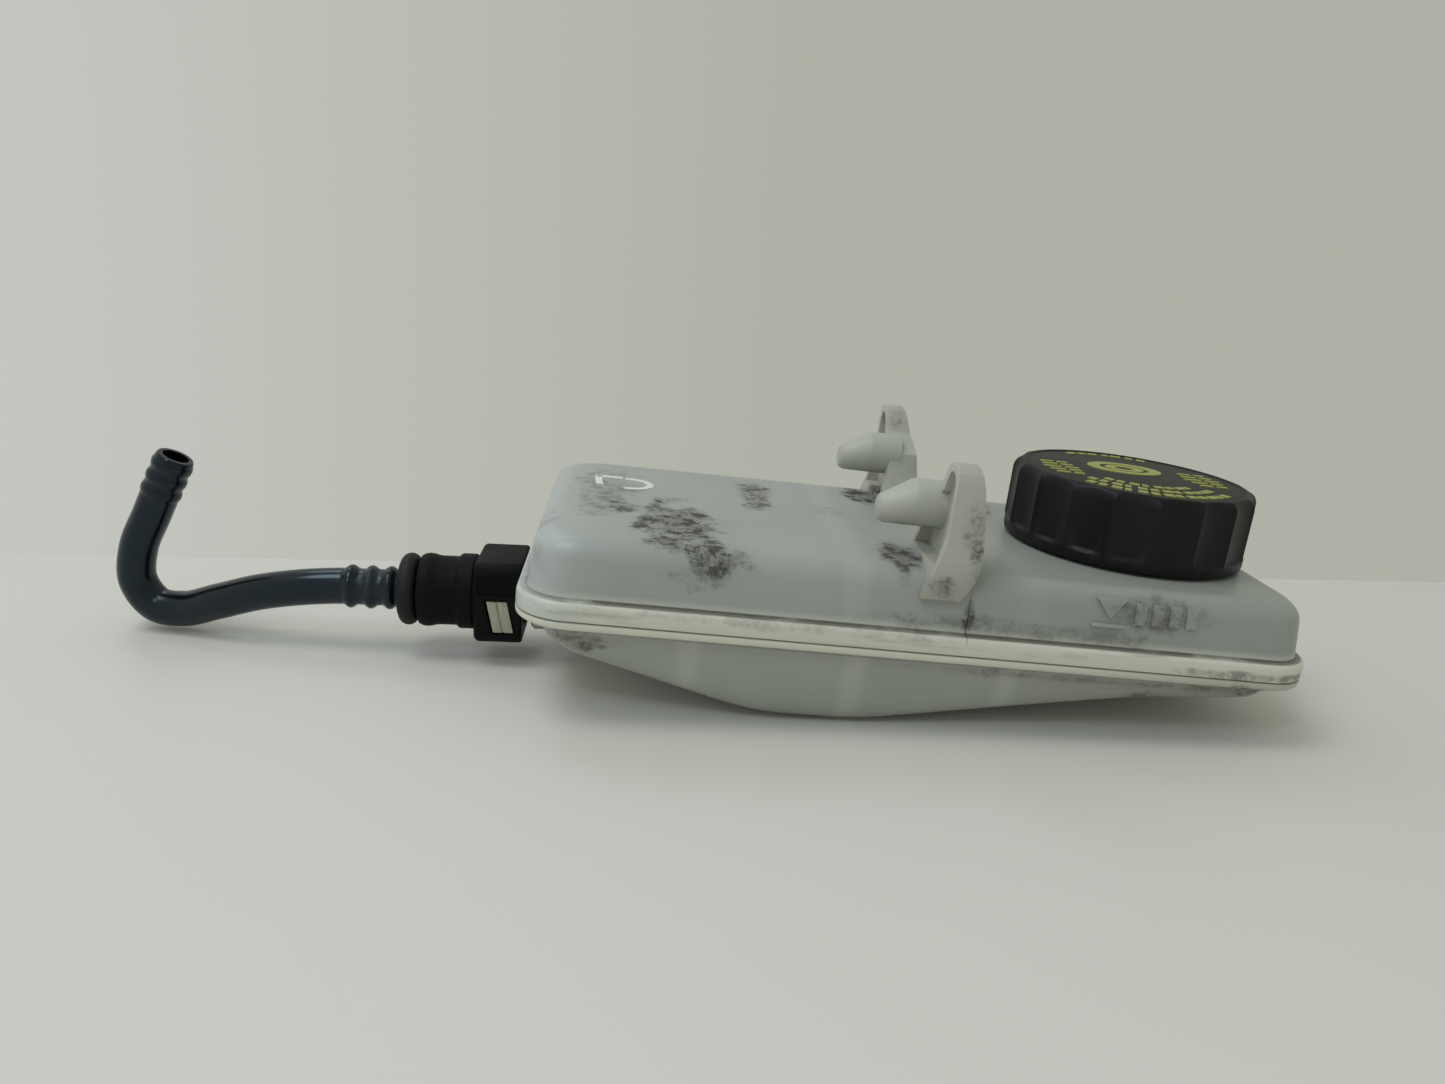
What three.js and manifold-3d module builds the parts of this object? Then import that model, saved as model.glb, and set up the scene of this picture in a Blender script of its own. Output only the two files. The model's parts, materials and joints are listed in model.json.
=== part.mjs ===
// Remote brake-fluid reservoir with a screw cap, a quick connector and a formed outlet pipe.
// Millimetres, +Z up. The reservoir lies as it rests on a flat surface: on the keel of its lower
// shell and on the outside of the pipe's bend, so its own level plane is tilted by REST_TILT.
// Inside the tilted group, x runs along the shell, y = 0 is its middle plane and z = 0 is the
// top of the weld flange.
import * as THREE from 'three';
import { mergeVertices } from 'three/addons/utils/BufferGeometryUtils.js';
import Module from 'manifold-3d';

const wasm = await Module();
wasm.setup();

// ---- driving dimensions -------------------------------------------------------------------
const GAP = 0.3; // clearance between pieces that touch
const REST_TILT = THREE.MathUtils.degToRad(3); // cap end low

// reservoir shells
const HALF_LENGTH = 78.5;
const HALF_WIDTH = 36.6;
const CORNER_RADIUS = 8;
const UPPER_HEIGHT = 11.6;
const WALL = 2.2;
const WALL_DRAFT = 0.08; // inset per millimetre of height
const TOP_FILLET = 4;
const FLANGE_LIP = 1.9;
const FLANGE_SPLIT = -3.8; // underside of the upper flange
const FLANGE_BOTTOM = -5.9;
const BOWL_TOP = { halfLength: 77.7, halfWidth: 36.2 };
const BOWL_DEEP = { z: -25, halfLength: 74.6, halfWidth: 31.8 };
// the keel line of the lower shell: [x, z] from the outlet end to the cap end
const KEEL = [[-78.5, -10.2], [-72, -12.4], [-34, -22.5], [-28, -23.2], [-10, -23], [45, -12.8],
  [62, -11.1], [74, -10.4], [78.5, -8.8]];
const LOWER_BAFFLES_X = [-46, -13, 18];
const BAFFLE_THICKNESS = 1.6;
const BAFFLE_PASSAGE = 9; // half of the open middle between the two baffle wings
const UPPER_BAFFLE_X = -15;

// filler neck and cap, on a vertical axis
const NECK_X = 50.8;
const NECK_RADIUS = 20.6;
const NECK_BORE = 16.2;
const NECK_SEAT_BORE = 17.8;
const NECK_SEAT_Z = 20;
const NECK_TOP = 22;
const THREAD_LEAD = 4.2;
const THREAD_TURNS = 1.25;
const THREAD_START_Z = 15;
const NECK_THREAD_CREST = 22;
const CAP_THREAD_CREST = 21.3;
const CAP_BOTTOM = 12.2;
const CAP_TOP = 28.4;
const CAP_RADIUS = 26;
const CAP_BORE = 22.6;
const CAP_CEILING = 25.8;
const CAP_FLUTES = 18;
const FLUTE_DEPTH = 0.9;
const PLATE = { radius: 22.2, bottom: 24.3, top: 25.5, vent: 2.2 };
const GASKET = { inner: 17.6, outer: 20.9, bottom: 22.3, top: 24 };

// mounting ears, one on each long side, each with a peg that points at the outlet end
// the ear seen from the end, as [distance from the middle plane, z]: upright outside, small
// rounded head, inner edge that slopes down past the peg's boss to a broad foot
const EAR_FACE = [[38.1, 7], [38.1, 29.4], [37.4, 31.6], [35.6, 32.9], [33.4, 33.1], [31, 32.4],
  [29.2, 30.4], [27.6, 27.6], [20, 23.8], [19.2, 19.6], [16.4, 11.4], [16.4, 7]];
const EAR_POCKET = [[36.4, 13.3], [36.4, 29.2], [35.4, 30.9], [33.4, 31.4], [31.6, 30.6], [29.4, 26.8],
  [21.8, 22.8], [21, 19.2], [19, 13.3]];
const EAR_POCKET_X = 1.9; // floor of the pocket in the face that carries the peg
// the ear seen from the side: [x, z], thin at the top and flared at the foot
const EAR_SIDE = [[0.3, 35], [5.4, 35], [6.2, 26], [7.6, 12], [7.8, 4], [-3.6, 4], [-3.2, 7], [-2, 10],
  [0, 17], [0.3, 22]];
const PEG_Y = 24.4;
// rings of the peg: x, radius and height of the centre; the lower side stays level
const PEG_RINGS = [[3.3, 4.8, 22.7], [-4.4, 4.8, 22.7], [-10.3, 3, 21], [-11.2, 2.1, 21]];

// outlet spigot and everything on its axis, drawn along x before it is turned level
const OUTLET_Z = -12.2;
const OUTLET_TURN_X = -79; // the outlet axis drops towards the pipe from here, so it rests level
const BOSS_RADIUS = 7.8;
const BOSS_X = [-79.2, -41];
const SPIGOT_RADIUS = 5;
const SPIGOT_END = -96.2;
const OUTLET_BORE = 3.2;
const BEAD = { ramp: -88.7, left: -86.7, right: -85.3, radius: 6.3 };
const HEAD = { left: -91.2, right: -80.9, half: 9, corner: 2.2 };
const SEAL_BORE = { radius: 6.9, end: -94.7 };
const TIP_BORE = { radius: 5.4, end: -96.9 };
const SOCKET = { radius: 4.3, end: -98.2 };
const TAIL_X = -103.8;
const WINDOW = { left: -88.9, right: -83.8, top: -11.2, bottom: -18.8, slant: 1.6 };
const TAB = { outer: 8.9, inner: 8 };
const RING_FIT = { inner: 5.3, outer: 6.6 }; // rings that fit between spigot and bore
const RETAINER_RING_X = [-84.9, -83.5];
const O_RING_X = [-91, -93.7];
const O_RING_SECTION = 0.65;
const SPACER_X = [-92.75, -91.95];
const BUSH_X = [-90.1, -89];
const DUST_RING = { left: -108, right: -104.1, inner: 4.3, outer: 7.95 };

// formed pipe
const PIPE_RADIUS = 4;
const PIPE_BORE = 2.8;
const PIPE_START = -98.5;
const PIPE_STRAIGHT_END = -121;
// centre line after the straight stretch
const PIPE_ROUTE = [[-129.8, 0.6, -15.8], [-139.2, 2, -18.3], [-148.5, 4, -22], [-156.8, 6.5, -25.4],
  [-163.4, 7.6, -25.3], [-167.5, 8, -20.2], [-167.2, 8, -12.4], [-164.1, 8, -4.2], [-161, 8, 3.9]];
const PIPE_TIP = [-158.9, 8, 9.1];
const CORRUGATION_X = [-110.3, -114.4, -118.7];
const CORRUGATION_RADIUS = 5;
const CORRUGATION_HALF = 1.5;
const END_RINGS = [2.2, 5.4, 8.6]; // distances of the end's ridges from the tip
const END_RING_RADIUS = 4.35;

// ---- materials ----------------------------------------------------------------------------
function plastic(color, roughness, opacity = 1) {
  return new THREE.MeshStandardMaterial({
    color, roughness, metalness: 0, opacity, transparent: opacity < 1,
  });
}
const milky = plastic(0xd3d8dc, 0.42, 0.9);
const black = plastic(0x1b1b1e, 0.55);
const glossBlack = plastic(0x0b0c0f, 0.22);
const rubber = plastic(0x131313, 0.8);
const cream = plastic(0xd2c8ae, 0.55);
const natural = plastic(0xe6e4dc, 0.5);

// ---- geometry helpers ---------------------------------------------------------------------
/** A closed three.js geometry as a solid, with its faces turned outwards. */
function solid(geometry) {
  const bare = new THREE.BufferGeometry();
  bare.setAttribute('position', geometry.getAttribute('position').clone());
  if (geometry.index) bare.setIndex(geometry.index.clone());
  const merged = mergeVertices(bare, 1e-4);
  const points = merged.getAttribute('position').array;
  const corners = [];
  let volume = 0;
  for (let i = 0; i < merged.index.count; i += 3) {
    const [a, b, c] = [0, 1, 2].map((k) => merged.index.getX(i + k));
    if (a === b || b === c || a === c) continue;
    corners.push(a, b, c);
    const [p, q, r] = [a, b, c].map((k) => new THREE.Vector3().fromArray(points, 3 * k));
    volume += p.dot(q.cross(r));
  }
  const triVerts = Uint32Array.from(volume < 0 ? corners.reverse() : corners);
  return new wasm.Manifold(new wasm.Mesh({ numProp: 3, vertProperties: points, triVerts }));
}

/** A named mesh of a solid. */
function piece(name, body, material) {
  const { vertProperties, triVerts } = body.getMesh();
  const geometry = new THREE.BufferGeometry();
  geometry.setAttribute('position', new THREE.BufferAttribute(vertProperties, 3));
  geometry.setIndex(new THREE.BufferAttribute(triVerts, 1));
  geometry.computeVertexNormals();
  const mesh = new THREE.Mesh(geometry, material);
  mesh.name = name;
  return mesh;
}

/** Joins a list of solids. */
function join(bodies) {
  return bodies.reduce((sum, body) => sum.add(body));
}

/** A box between two corners. */
function block([x0, y0, z0], [x1, y1, z1]) {
  const box = new THREE.BoxGeometry(x1 - x0, y1 - y0, z1 - z0);
  return solid(box.translate((x0 + x1) / 2, (y0 + y1) / 2, (z0 + z1) / 2));
}

/** A closed skin over loops of equally many points; both end loops are star-shaped. */
function loft(loops) {
  const count = loops[0].length;
  const positions = loops.flat().flatMap((p) => [p.x, p.y, p.z]);
  const index = [];
  for (let row = 0; row < loops.length - 1; row += 1) {
    for (let i = 0; i < count; i += 1) {
      const a = row * count + i;
      const b = row * count + ((i + 1) % count);
      index.push(a, b, b + count, a, b + count, a + count);
    }
  }
  for (const [loop, start, flip] of [[loops[0], 0, true], [loops.at(-1), (loops.length - 1) * count, false]]) {
    const centre = loop.reduce((sum, p) => sum.add(p), new THREE.Vector3()).divideScalar(count);
    const hub = positions.length / 3;
    positions.push(centre.x, centre.y, centre.z);
    for (let i = 0; i < count; i += 1) {
      const a = start + i;
      const b = start + ((i + 1) % count);
      index.push(hub, flip ? b : a, flip ? a : b);
    }
  }
  const geometry = new THREE.BufferGeometry();
  geometry.setAttribute('position', new THREE.Float32BufferAttribute(positions, 3));
  geometry.setIndex(index);
  return solid(geometry);
}

/** A level rounded rectangle at height z. */
function plan(halfLength, halfWidth, radius, z) {
  const steps = 5;
  const loop = [];
  for (const [sx, sy, turn] of [[1, 1, 0], [-1, 1, 1], [-1, -1, 2], [1, -1, 3]]) {
    for (let k = 0; k <= steps; k += 1) {
      const angle = (turn + k / steps) * (Math.PI / 2);
      loop.push(new THREE.Vector3(
        sx * (halfLength - radius) + radius * Math.cos(angle),
        sy * (halfWidth - radius) + radius * Math.sin(angle),
        z,
      ));
    }
  }
  return loop;
}

/** A solid of revolution about the x axis line at height z, from [x, radius] points. */
function turnAlongX(profile, z = OUTLET_Z, segments = 28) {
  const points = profile.map(([x, radius]) => new THREE.Vector2(radius, x));
  const lathe = new THREE.LatheGeometry(points, segments);
  return solid(lathe.rotateZ(-Math.PI / 2).translate(0, 0, z));
}

/** A solid of revolution about the neck axis, from [radius, z] points. */
function turnAboutNeck(profile, segments = 40) {
  const points = profile.map(([radius, z]) => new THREE.Vector2(radius, z));
  const lathe = new THREE.LatheGeometry(points, segments);
  return solid(lathe.rotateX(Math.PI / 2).translate(NECK_X, 0, 0));
}

/** A tube wall as a closed [x, radius] profile. */
function sleeve(x0, x1, inner, outer) {
  return [[x0, inner], [x0, outer], [x1, outer], [x1, inner], [x0, inner]];
}

/** A full cylinder as an [x, radius] profile. */
function rod(x0, x1, radius) {
  return [[x0, 0], [x0, radius], [x1, radius], [x1, 0]];
}

/** An outline in the x-z plane, extruded along y and centred on y = middle. */
function slabAlongY(outline, width, middle = 0) {
  const shape = new THREE.Shape(outline.map(([x, z]) => new THREE.Vector2(x, z)));
  const slab = new THREE.ExtrudeGeometry(shape, { depth: width, bevelEnabled: false });
  return solid(slab.rotateX(Math.PI / 2).translate(0, middle + width / 2, 0));
}

/** A helical ridge about the neck axis, from its root radius to its crest radius. */
function threadRidge(root, crest, startZ) {
  const stepAngle = Math.PI / 12;
  const steps = Math.round((THREAD_TURNS * 2 * Math.PI) / stepAngle);
  const loops = [];
  for (let k = 0; k <= steps; k += 1) {
    const angle = k * stepAngle;
    const z = startZ + (THREAD_LEAD * angle) / (2 * Math.PI);
    const section = [[root, -0.8], [crest, -0.35], [crest, 0.35], [root, 0.8]];
    loops.push(section.map(([radius, dz]) => new THREE.Vector3(
      NECK_X + radius * Math.cos(angle),
      radius * Math.sin(angle),
      z + dz,
    )));
  }
  return loft(loops);
}

// ---- reservoir shells ---------------------------------------------------------------------
/** The domed upper volume, drawn in from the outside by a wall thickness. */
function upperVolume(offset, floorZ) {
  const height = UPPER_HEIGHT - offset;
  const fillet = TOP_FILLET - offset;
  const halfLength = HALF_LENGTH - offset;
  const halfWidth = HALF_WIDTH - offset;
  const radius = CORNER_RADIUS - offset;
  const loops = [plan(halfLength, halfWidth, radius, floorZ), plan(halfLength, halfWidth, radius, 0)];
  for (let k = 0; k <= 4; k += 1) {
    const angle = (k * Math.PI) / 8;
    const z = height - fillet + fillet * Math.sin(angle);
    const inset = WALL_DRAFT * z + fillet * (1 - Math.cos(angle));
    loops.push(plan(halfLength - inset, halfWidth - inset, radius, z));
  }
  return loft(loops);
}

/** A band of the weld flange between two heights, with small edge chamfers. */
function flangeBand(lowZ, highZ, lowChamfer, highChamfer) {
  const rim = (inset, z) => plan(
    HALF_LENGTH + FLANGE_LIP - inset,
    HALF_WIDTH + FLANGE_LIP - inset,
    CORNER_RADIUS + FLANGE_LIP,
    z,
  );
  return loft([
    rim(lowChamfer, lowZ),
    rim(0, lowZ + lowChamfer),
    rim(0, highZ - highChamfer),
    rim(highChamfer, highZ),
  ]);
}

/** One ear with its peg; side is -1 for the front of the shell and +1 for the back. */
function ear(side) {
  const acrossX = new THREE.Matrix4().makeBasis(
    new THREE.Vector3(0, 1, 0),
    new THREE.Vector3(0, 0, 1),
    new THREE.Vector3(1, 0, 0),
  );
  const slab = (outline, x0, x1) => {
    const shape = new THREE.Shape(outline.map(([y, z]) => new THREE.Vector2(side * y, z)));
    const geometry = new THREE.ExtrudeGeometry(shape, { depth: x1 - x0, bevelEnabled: false });
    return solid(geometry.applyMatrix4(acrossX).translate(x0, 0, 0));
  };
  const wedge = slabAlongY(EAR_SIDE, 3 * HALF_WIDTH);
  const plate = slab(EAR_FACE, -6, 12).intersect(wedge);
  const pocket = slab(EAR_POCKET, -6, EAR_POCKET_X);
  const rings = PEG_RINGS.map(([x, radius, z]) => Array.from({ length: 16 }, (_, i) => {
    const angle = (i * Math.PI) / 8;
    return new THREE.Vector3(x, side * PEG_Y + radius * Math.cos(angle), z + radius * Math.sin(angle));
  }));
  return plate.subtract(pocket).add(loft(rings));
}

function upperShell() {
  const neck = turnAboutNeck([[0, UPPER_HEIGHT - WALL], [NECK_RADIUS, UPPER_HEIGHT - WALL],
    [NECK_RADIUS, NECK_TOP - 0.6], [NECK_RADIUS - 0.6, NECK_TOP], [0, NECK_TOP]]);
  const neckHole = turnAboutNeck([[0, 0], [NECK_BORE, 0], [NECK_BORE, NECK_SEAT_Z],
    [NECK_SEAT_BORE, NECK_SEAT_Z], [NECK_SEAT_BORE, NECK_TOP + 1], [0, NECK_TOP + 1]]);
  const outside = join([
    upperVolume(0, FLANGE_SPLIT),
    flangeBand(FLANGE_SPLIT, 0, 0.3, 0.8),
    ear(-1),
    ear(1),
  ]);
  const baffle = block(
    [UPPER_BAFFLE_X - BAFFLE_THICKNESS / 2, -HALF_WIDTH + WALL / 2, 3],
    [UPPER_BAFFLE_X + BAFFLE_THICKNESS / 2, HALF_WIDTH - WALL / 2, UPPER_HEIGHT - WALL / 2],
  ).intersect(upperVolume(WALL / 2, FLANGE_SPLIT));
  const inside = upperVolume(WALL, FLANGE_SPLIT - 1);
  return outside
    .subtract(inside)
    .add(baffle)
    .add(neck)
    .add(threadRidge(NECK_RADIUS - 0.2, NECK_THREAD_CREST, THREAD_START_Z))
    .subtract(neckHole);
}

/** Turns a solid of the outlet about the middle of the spigot's root, to rest level. */
function aimed(body) {
  return body
    .translate([-OUTLET_TURN_X, 0, -OUTLET_Z])
    .rotate([0, -THREE.MathUtils.radToDeg(REST_TILT), 0])
    .translate([OUTLET_TURN_X, 0, OUTLET_Z]);
}

/** The bowl's volume: the keel outline cut by a drafted plan, drawn in by a wall thickness. */
function bowlVolume(offset, topZ) {
  const top = FLANGE_SPLIT - GAP;
  const outline = [[-HALF_LENGTH - 1, topZ], ...KEEL.map(([x, z]) => [x, z + offset]), [HALF_LENGTH + 1, topZ]];
  const drafted = loft([
    plan(BOWL_DEEP.halfLength - offset, BOWL_DEEP.halfWidth - offset, CORNER_RADIUS - offset, BOWL_DEEP.z),
    plan(BOWL_TOP.halfLength - offset, BOWL_TOP.halfWidth - offset, CORNER_RADIUS - offset, top),
    plan(BOWL_TOP.halfLength - offset, BOWL_TOP.halfWidth - offset, CORNER_RADIUS - offset, topZ + 1),
  ]);
  return slabAlongY(outline, 3 * HALF_WIDTH).intersect(drafted);
}

function lowerShell() {
  const top = FLANGE_SPLIT - GAP;
  const boss = turnAlongX(rod(BOSS_X[0], BOSS_X[1], BOSS_RADIUS));
  const outside = join([bowlVolume(0, top), flangeBand(FLANGE_BOTTOM, top, 0.7, 0.2), aimed(boss)]);
  const inside = bowlVolume(WALL, top + 4);
  const wings = LOWER_BAFFLES_X.flatMap((x) => [-1, 1].map((side) => {
    const [near, far] = [side * BAFFLE_PASSAGE, side * HALF_WIDTH].sort((a, b) => a - b);
    return block(
      [x - BAFFLE_THICKNESS / 2, near, BOWL_DEEP.z],
      [x + BAFFLE_THICKNESS / 2, far, FLANGE_BOTTOM - 0.6],
    ).intersect(bowlVolume(WALL / 2, top));
  }));
  const spigot = turnAlongX([[SPIGOT_END, 0], [SPIGOT_END, SPIGOT_RADIUS - 0.8],
    [SPIGOT_END + 1, SPIGOT_RADIUS], [BEAD.ramp, SPIGOT_RADIUS], [BEAD.left, BEAD.radius],
    [BEAD.right, BEAD.radius], [BEAD.right, SPIGOT_RADIUS], [BOSS_X[0] + 1, SPIGOT_RADIUS],
    [BOSS_X[0] + 1, 0]]);
  const bore = turnAlongX(rod(SPIGOT_END - 1, BOSS_X[1] - 8, OUTLET_BORE));
  return outside.subtract(inside).add(join(wings)).add(aimed(spigot)).subtract(aimed(bore));
}

// ---- filler neck and cap ------------------------------------------------------------------
function strainer() {
  const [bottom, top] = [-1, 21.4];
  const [inner, outer] = [14.6, 15.6];
  const cup = turnAboutNeck([[0, bottom], [outer, bottom], [outer, NECK_SEAT_Z + GAP],
    [NECK_SEAT_BORE - GAP, NECK_SEAT_Z + GAP], [NECK_SEAT_BORE - GAP, top], [inner, top],
    [inner, bottom + 1.2], [0, bottom + 1.2]]);
  const slots = [];
  for (let k = 0; k < 12; k += 1) {
    const slot = new THREE.BoxGeometry(6, 3.2, 14).translate(outer, 0, 9).rotateZ((k * Math.PI) / 6);
    slots.push(solid(slot.translate(NECK_X, 0, 0)));
  }
  for (let k = 0; k < 6; k += 1) {
    const slot = new THREE.BoxGeometry(8, 2.4, 6).translate(8, 0, bottom).rotateZ((k * Math.PI) / 3);
    slots.push(solid(slot.translate(NECK_X, 0, 0)));
  }
  return cup.subtract(join(slots));
}

function capShell() {
  const points = CAP_FLUTES * 4;
  const ring = (radius, depth, z) => Array.from({ length: points }, (_, i) => {
    const angle = (i * 2 * Math.PI) / points;
    const scoop = Math.abs(Math.sin((angle * CAP_FLUTES) / 2));
    const r = radius - depth * scoop;
    return new THREE.Vector3(NECK_X + r * Math.cos(angle), r * Math.sin(angle), z);
  });
  const outside = loft([
    ring(CAP_RADIUS - 0.7, 0, CAP_BOTTOM),
    ring(CAP_RADIUS - 0.2, 0, CAP_BOTTOM + 0.5),
    ring(CAP_RADIUS - 0.2, 0, CAP_BOTTOM + 2),
    ring(CAP_RADIUS, FLUTE_DEPTH, CAP_BOTTOM + 2.8),
    ring(CAP_RADIUS, FLUTE_DEPTH, CAP_TOP - 1.8),
    ring(CAP_RADIUS - 1.4, 0, CAP_TOP),
  ]);
  const inside = turnAboutNeck([[0, CAP_BOTTOM - 1], [CAP_BORE, CAP_BOTTOM - 1], [CAP_BORE, CAP_CEILING],
    [0, CAP_CEILING]]);
  const ridge = threadRidge(CAP_BORE + 0.3, CAP_THREAD_CREST, THREAD_START_Z - THREAD_LEAD / 2 + 0.4);
  return outside.subtract(inside).add(ridge);
}

function ventPlate() {
  return turnAboutNeck([[PLATE.vent, PLATE.bottom], [PLATE.radius, PLATE.bottom], [PLATE.radius, PLATE.top],
    [PLATE.vent, PLATE.top], [PLATE.vent, PLATE.bottom]]);
}

function gasket() {
  return turnAboutNeck([[GASKET.inner, GASKET.bottom], [GASKET.outer, GASKET.bottom],
    [GASKET.outer, GASKET.top], [GASKET.inner, GASKET.top], [GASKET.inner, GASKET.bottom]]);
}

/** The rubber bellows under the vent plate: a thin cup with one raised convolution. */
function diaphragm() {
  return turnAboutNeck([[0, 19.6], [6, 19.6], [7, 16.4], [11.4, 16.4], [13.4, 22.8], [17.2, 22.8],
    [17.2, 24], [12.2, 24], [10.6, 17.6], [8, 17.6], [6.8, 20.8], [0, 20.8]]);
}

// ---- quick connector ----------------------------------------------------------------------
/** The slanted window in each side of the connector's head, grown by margin. */
function windowOutline(margin) {
  const { left, right, top, bottom, slant } = WINDOW;
  return [[left + slant - margin, bottom - margin], [right + slant + margin, bottom - margin],
    [right + margin, top + margin], [left - margin, top + margin]];
}

function connectorHousing() {
  const barrel = turnAlongX([[TAIL_X, 0], [TAIL_X, 7], [TAIL_X + 0.9, 7.9], [TAIL_X + 2, 8.1],
    [TAIL_X + 3.1, 7.9], [TAIL_X + 4, 7.65], [-95.3, 7.65], [-94.6, 8.3], [HEAD.left + 1, 8.3],
    [HEAD.left + 1, 0]]);
  const square = (half, corner, x) => plan(half, half, corner, 0)
    .map((p) => new THREE.Vector3(x, p.x, p.y + OUTLET_Z));
  const head = loft([
    square(HEAD.half - 1, HEAD.corner - 1, HEAD.left),
    square(HEAD.half, HEAD.corner, HEAD.left + 1),
    square(HEAD.half, HEAD.corner, HEAD.right),
  ]);
  const bores = join([
    turnAlongX(rod(SEAL_BORE.end, HEAD.right + 1, SEAL_BORE.radius)),
    turnAlongX(rod(TIP_BORE.end, SEAL_BORE.end + 0.5, TIP_BORE.radius)),
    turnAlongX(rod(SOCKET.end - 1, TIP_BORE.end + 0.5, OUTLET_BORE - 0.2)),
    turnAlongX(rod(TAIL_X - 1, SOCKET.end, SOCKET.radius)),
  ]);
  const windows = slabAlongY(windowOutline(0), 4 * HEAD.half);
  const strips = [-1, 1].map((side) => block(
    [HEAD.left + 0.6, side * HEAD.half - 0.5, WINDOW.top + 0.4],
    [HEAD.right + 1, side * HEAD.half + 0.5, WINDOW.top + 5],
  ));
  return barrel.add(head).subtract(bores).subtract(windows).subtract(join(strips));
}

/** One release tab of the retainer; side is -1 at the front and +1 at the back. */
function retainerTab(side) {
  const middle = (side * (TAB.outer + TAB.inner)) / 2;
  const slit = slabAlongY([[-84.8, WINDOW.bottom - 1], [-84.3, WINDOW.bottom - 1], [-85.9, WINDOW.top + 1],
    [-86.4, WINDOW.top + 1]], 0.6, side * TAB.outer);
  return slabAlongY(windowOutline(-GAP), TAB.outer - TAB.inner, middle).subtract(slit);
}

function oRing(x) {
  const middle = (RING_FIT.inner + RING_FIT.outer) / 2;
  const torus = new THREE.TorusGeometry(middle, O_RING_SECTION, 6, 24);
  return solid(torus.rotateY(Math.PI / 2).translate(x, 0, OUTLET_Z));
}

function dustRing() {
  const { left, right, inner, outer } = DUST_RING;
  const profile = [[left, inner], [left, outer - 2.2]];
  for (let k = 0; k <= 6; k += 1) {
    const angle = Math.PI - (k * Math.PI) / 6;
    profile.push([(left + right) / 2 + 2 * Math.cos(angle), outer - 2 + 2 * Math.sin(angle)]);
  }
  profile.push([right, outer - 2.2], [right, inner], [left, inner]);
  return turnAlongX(profile);
}

// ---- formed pipe --------------------------------------------------------------------------
function formedPipe() {
  const onAxis = (x) => new THREE.Vector3(x - OUTLET_TURN_X, 0, 0)
    .applyAxisAngle(new THREE.Vector3(0, 1, 0), -REST_TILT)
    .add(new THREE.Vector3(OUTLET_TURN_X, 0, OUTLET_Z));
  const start = onAxis(PIPE_START);
  const straightEnd = onAxis(PIPE_STRAIGHT_END);
  const route = PIPE_ROUTE.map(([x, y, z]) => new THREE.Vector3(x, y, z));
  const tip = new THREE.Vector3(...PIPE_TIP);
  const line = new THREE.CatmullRomCurve3(
    [start, start.clone().lerp(straightEnd, 0.5), straightEnd, ...route, tip],
    false,
    'centripetal',
  );
  const tube = (radius) => {
    const circle = new THREE.Shape();
    circle.absarc(0, 0, radius, 0, 2 * Math.PI, false);
    return solid(new THREE.ExtrudeGeometry(circle, {
      extrudePath: line, steps: 32, curveSegments: 8, bevelEnabled: false,
    }));
  };
  const bumps = CORRUGATION_X.map((x) => aimed(turnAlongX([[x - CORRUGATION_HALF, 0],
    [x - CORRUGATION_HALF, PIPE_RADIUS - 0.1], [x - 0.5, CORRUGATION_RADIUS], [x + 0.5, CORRUGATION_RADIUS],
    [x + CORRUGATION_HALF, PIPE_RADIUS - 0.1], [x + CORRUGATION_HALF, 0]], OUTLET_Z, 16)));
  const along = tip.clone().sub(route.at(-1)).normalize();
  const turn = new THREE.Quaternion().setFromUnitVectors(new THREE.Vector3(0, 1, 0), along);
  const ridges = END_RINGS.map((back) => {
    const profile = [[0, -0.9], [PIPE_RADIUS - 0.1, -0.9], [END_RING_RADIUS, -0.4], [END_RING_RADIUS, 0.3],
      [PIPE_RADIUS - 0.1, 1], [0, 1]].map(([radius, y]) => new THREE.Vector2(radius, y));
    const centre = tip.clone().addScaledVector(along, -back);
    return solid(new THREE.LatheGeometry(profile, 16).applyQuaternion(turn)
      .translate(centre.x, centre.y, centre.z));
  });
  return join([tube(PIPE_RADIUS), ...bumps, ...ridges]).subtract(boreOf(line));
}

/** The pipe's bore, run a little past both ends so that it opens cleanly. */
function boreOf(line) {
  const points = line.getSpacedPoints(44);
  const first = points[0].clone().add(new THREE.Vector3(1, 0, 0));
  const last = points.at(-1).clone().add(points.at(-1).clone().sub(points.at(-2)).setLength(1));
  const longer = new THREE.CatmullRomCurve3([first, ...points, last], false, 'centripetal');
  const circle = new THREE.Shape();
  circle.absarc(0, 0, PIPE_BORE, 0, 2 * Math.PI, false);
  return solid(new THREE.ExtrudeGeometry(circle, {
    extrudePath: longer, steps: 28, curveSegments: 5, bevelEnabled: false,
  }));
}

// ---- assembly -----------------------------------------------------------------------------
const level = new THREE.Group();
level.add(
  piece('upper_shell', upperShell(), milky),
  piece('lower_shell', lowerShell(), milky),
  piece('strainer', strainer(), natural),
  piece('cap_shell', capShell(), black),
  piece('cap_vent_plate', ventPlate(), black),
  piece('cap_gasket', gasket(), rubber),
  piece('cap_diaphragm', diaphragm(), rubber),
  piece('connector_housing', aimed(connectorHousing()), black),
  piece('retainer_ring', aimed(turnAlongX(sleeve(...RETAINER_RING_X, RING_FIT.inner, RING_FIT.outer))), cream),
  piece('retainer_tab_front', aimed(retainerTab(-1)), cream),
  piece('retainer_tab_back', aimed(retainerTab(1)), cream),
  piece('guide_bush', aimed(turnAlongX(sleeve(...BUSH_X, RING_FIT.inner, RING_FIT.outer))), natural),
  piece('o_ring_outer', aimed(oRing(O_RING_X[0])), rubber),
  piece('seal_spacer', aimed(turnAlongX(sleeve(...SPACER_X, RING_FIT.inner, RING_FIT.outer))), natural),
  piece('o_ring_inner', aimed(oRing(O_RING_X[1])), rubber),
  piece('dust_ring', aimed(dustRing()), rubber),
  piece('formed_pipe', formedPipe(), glossBlack),
);
level.rotation.y = REST_TILT;

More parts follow.
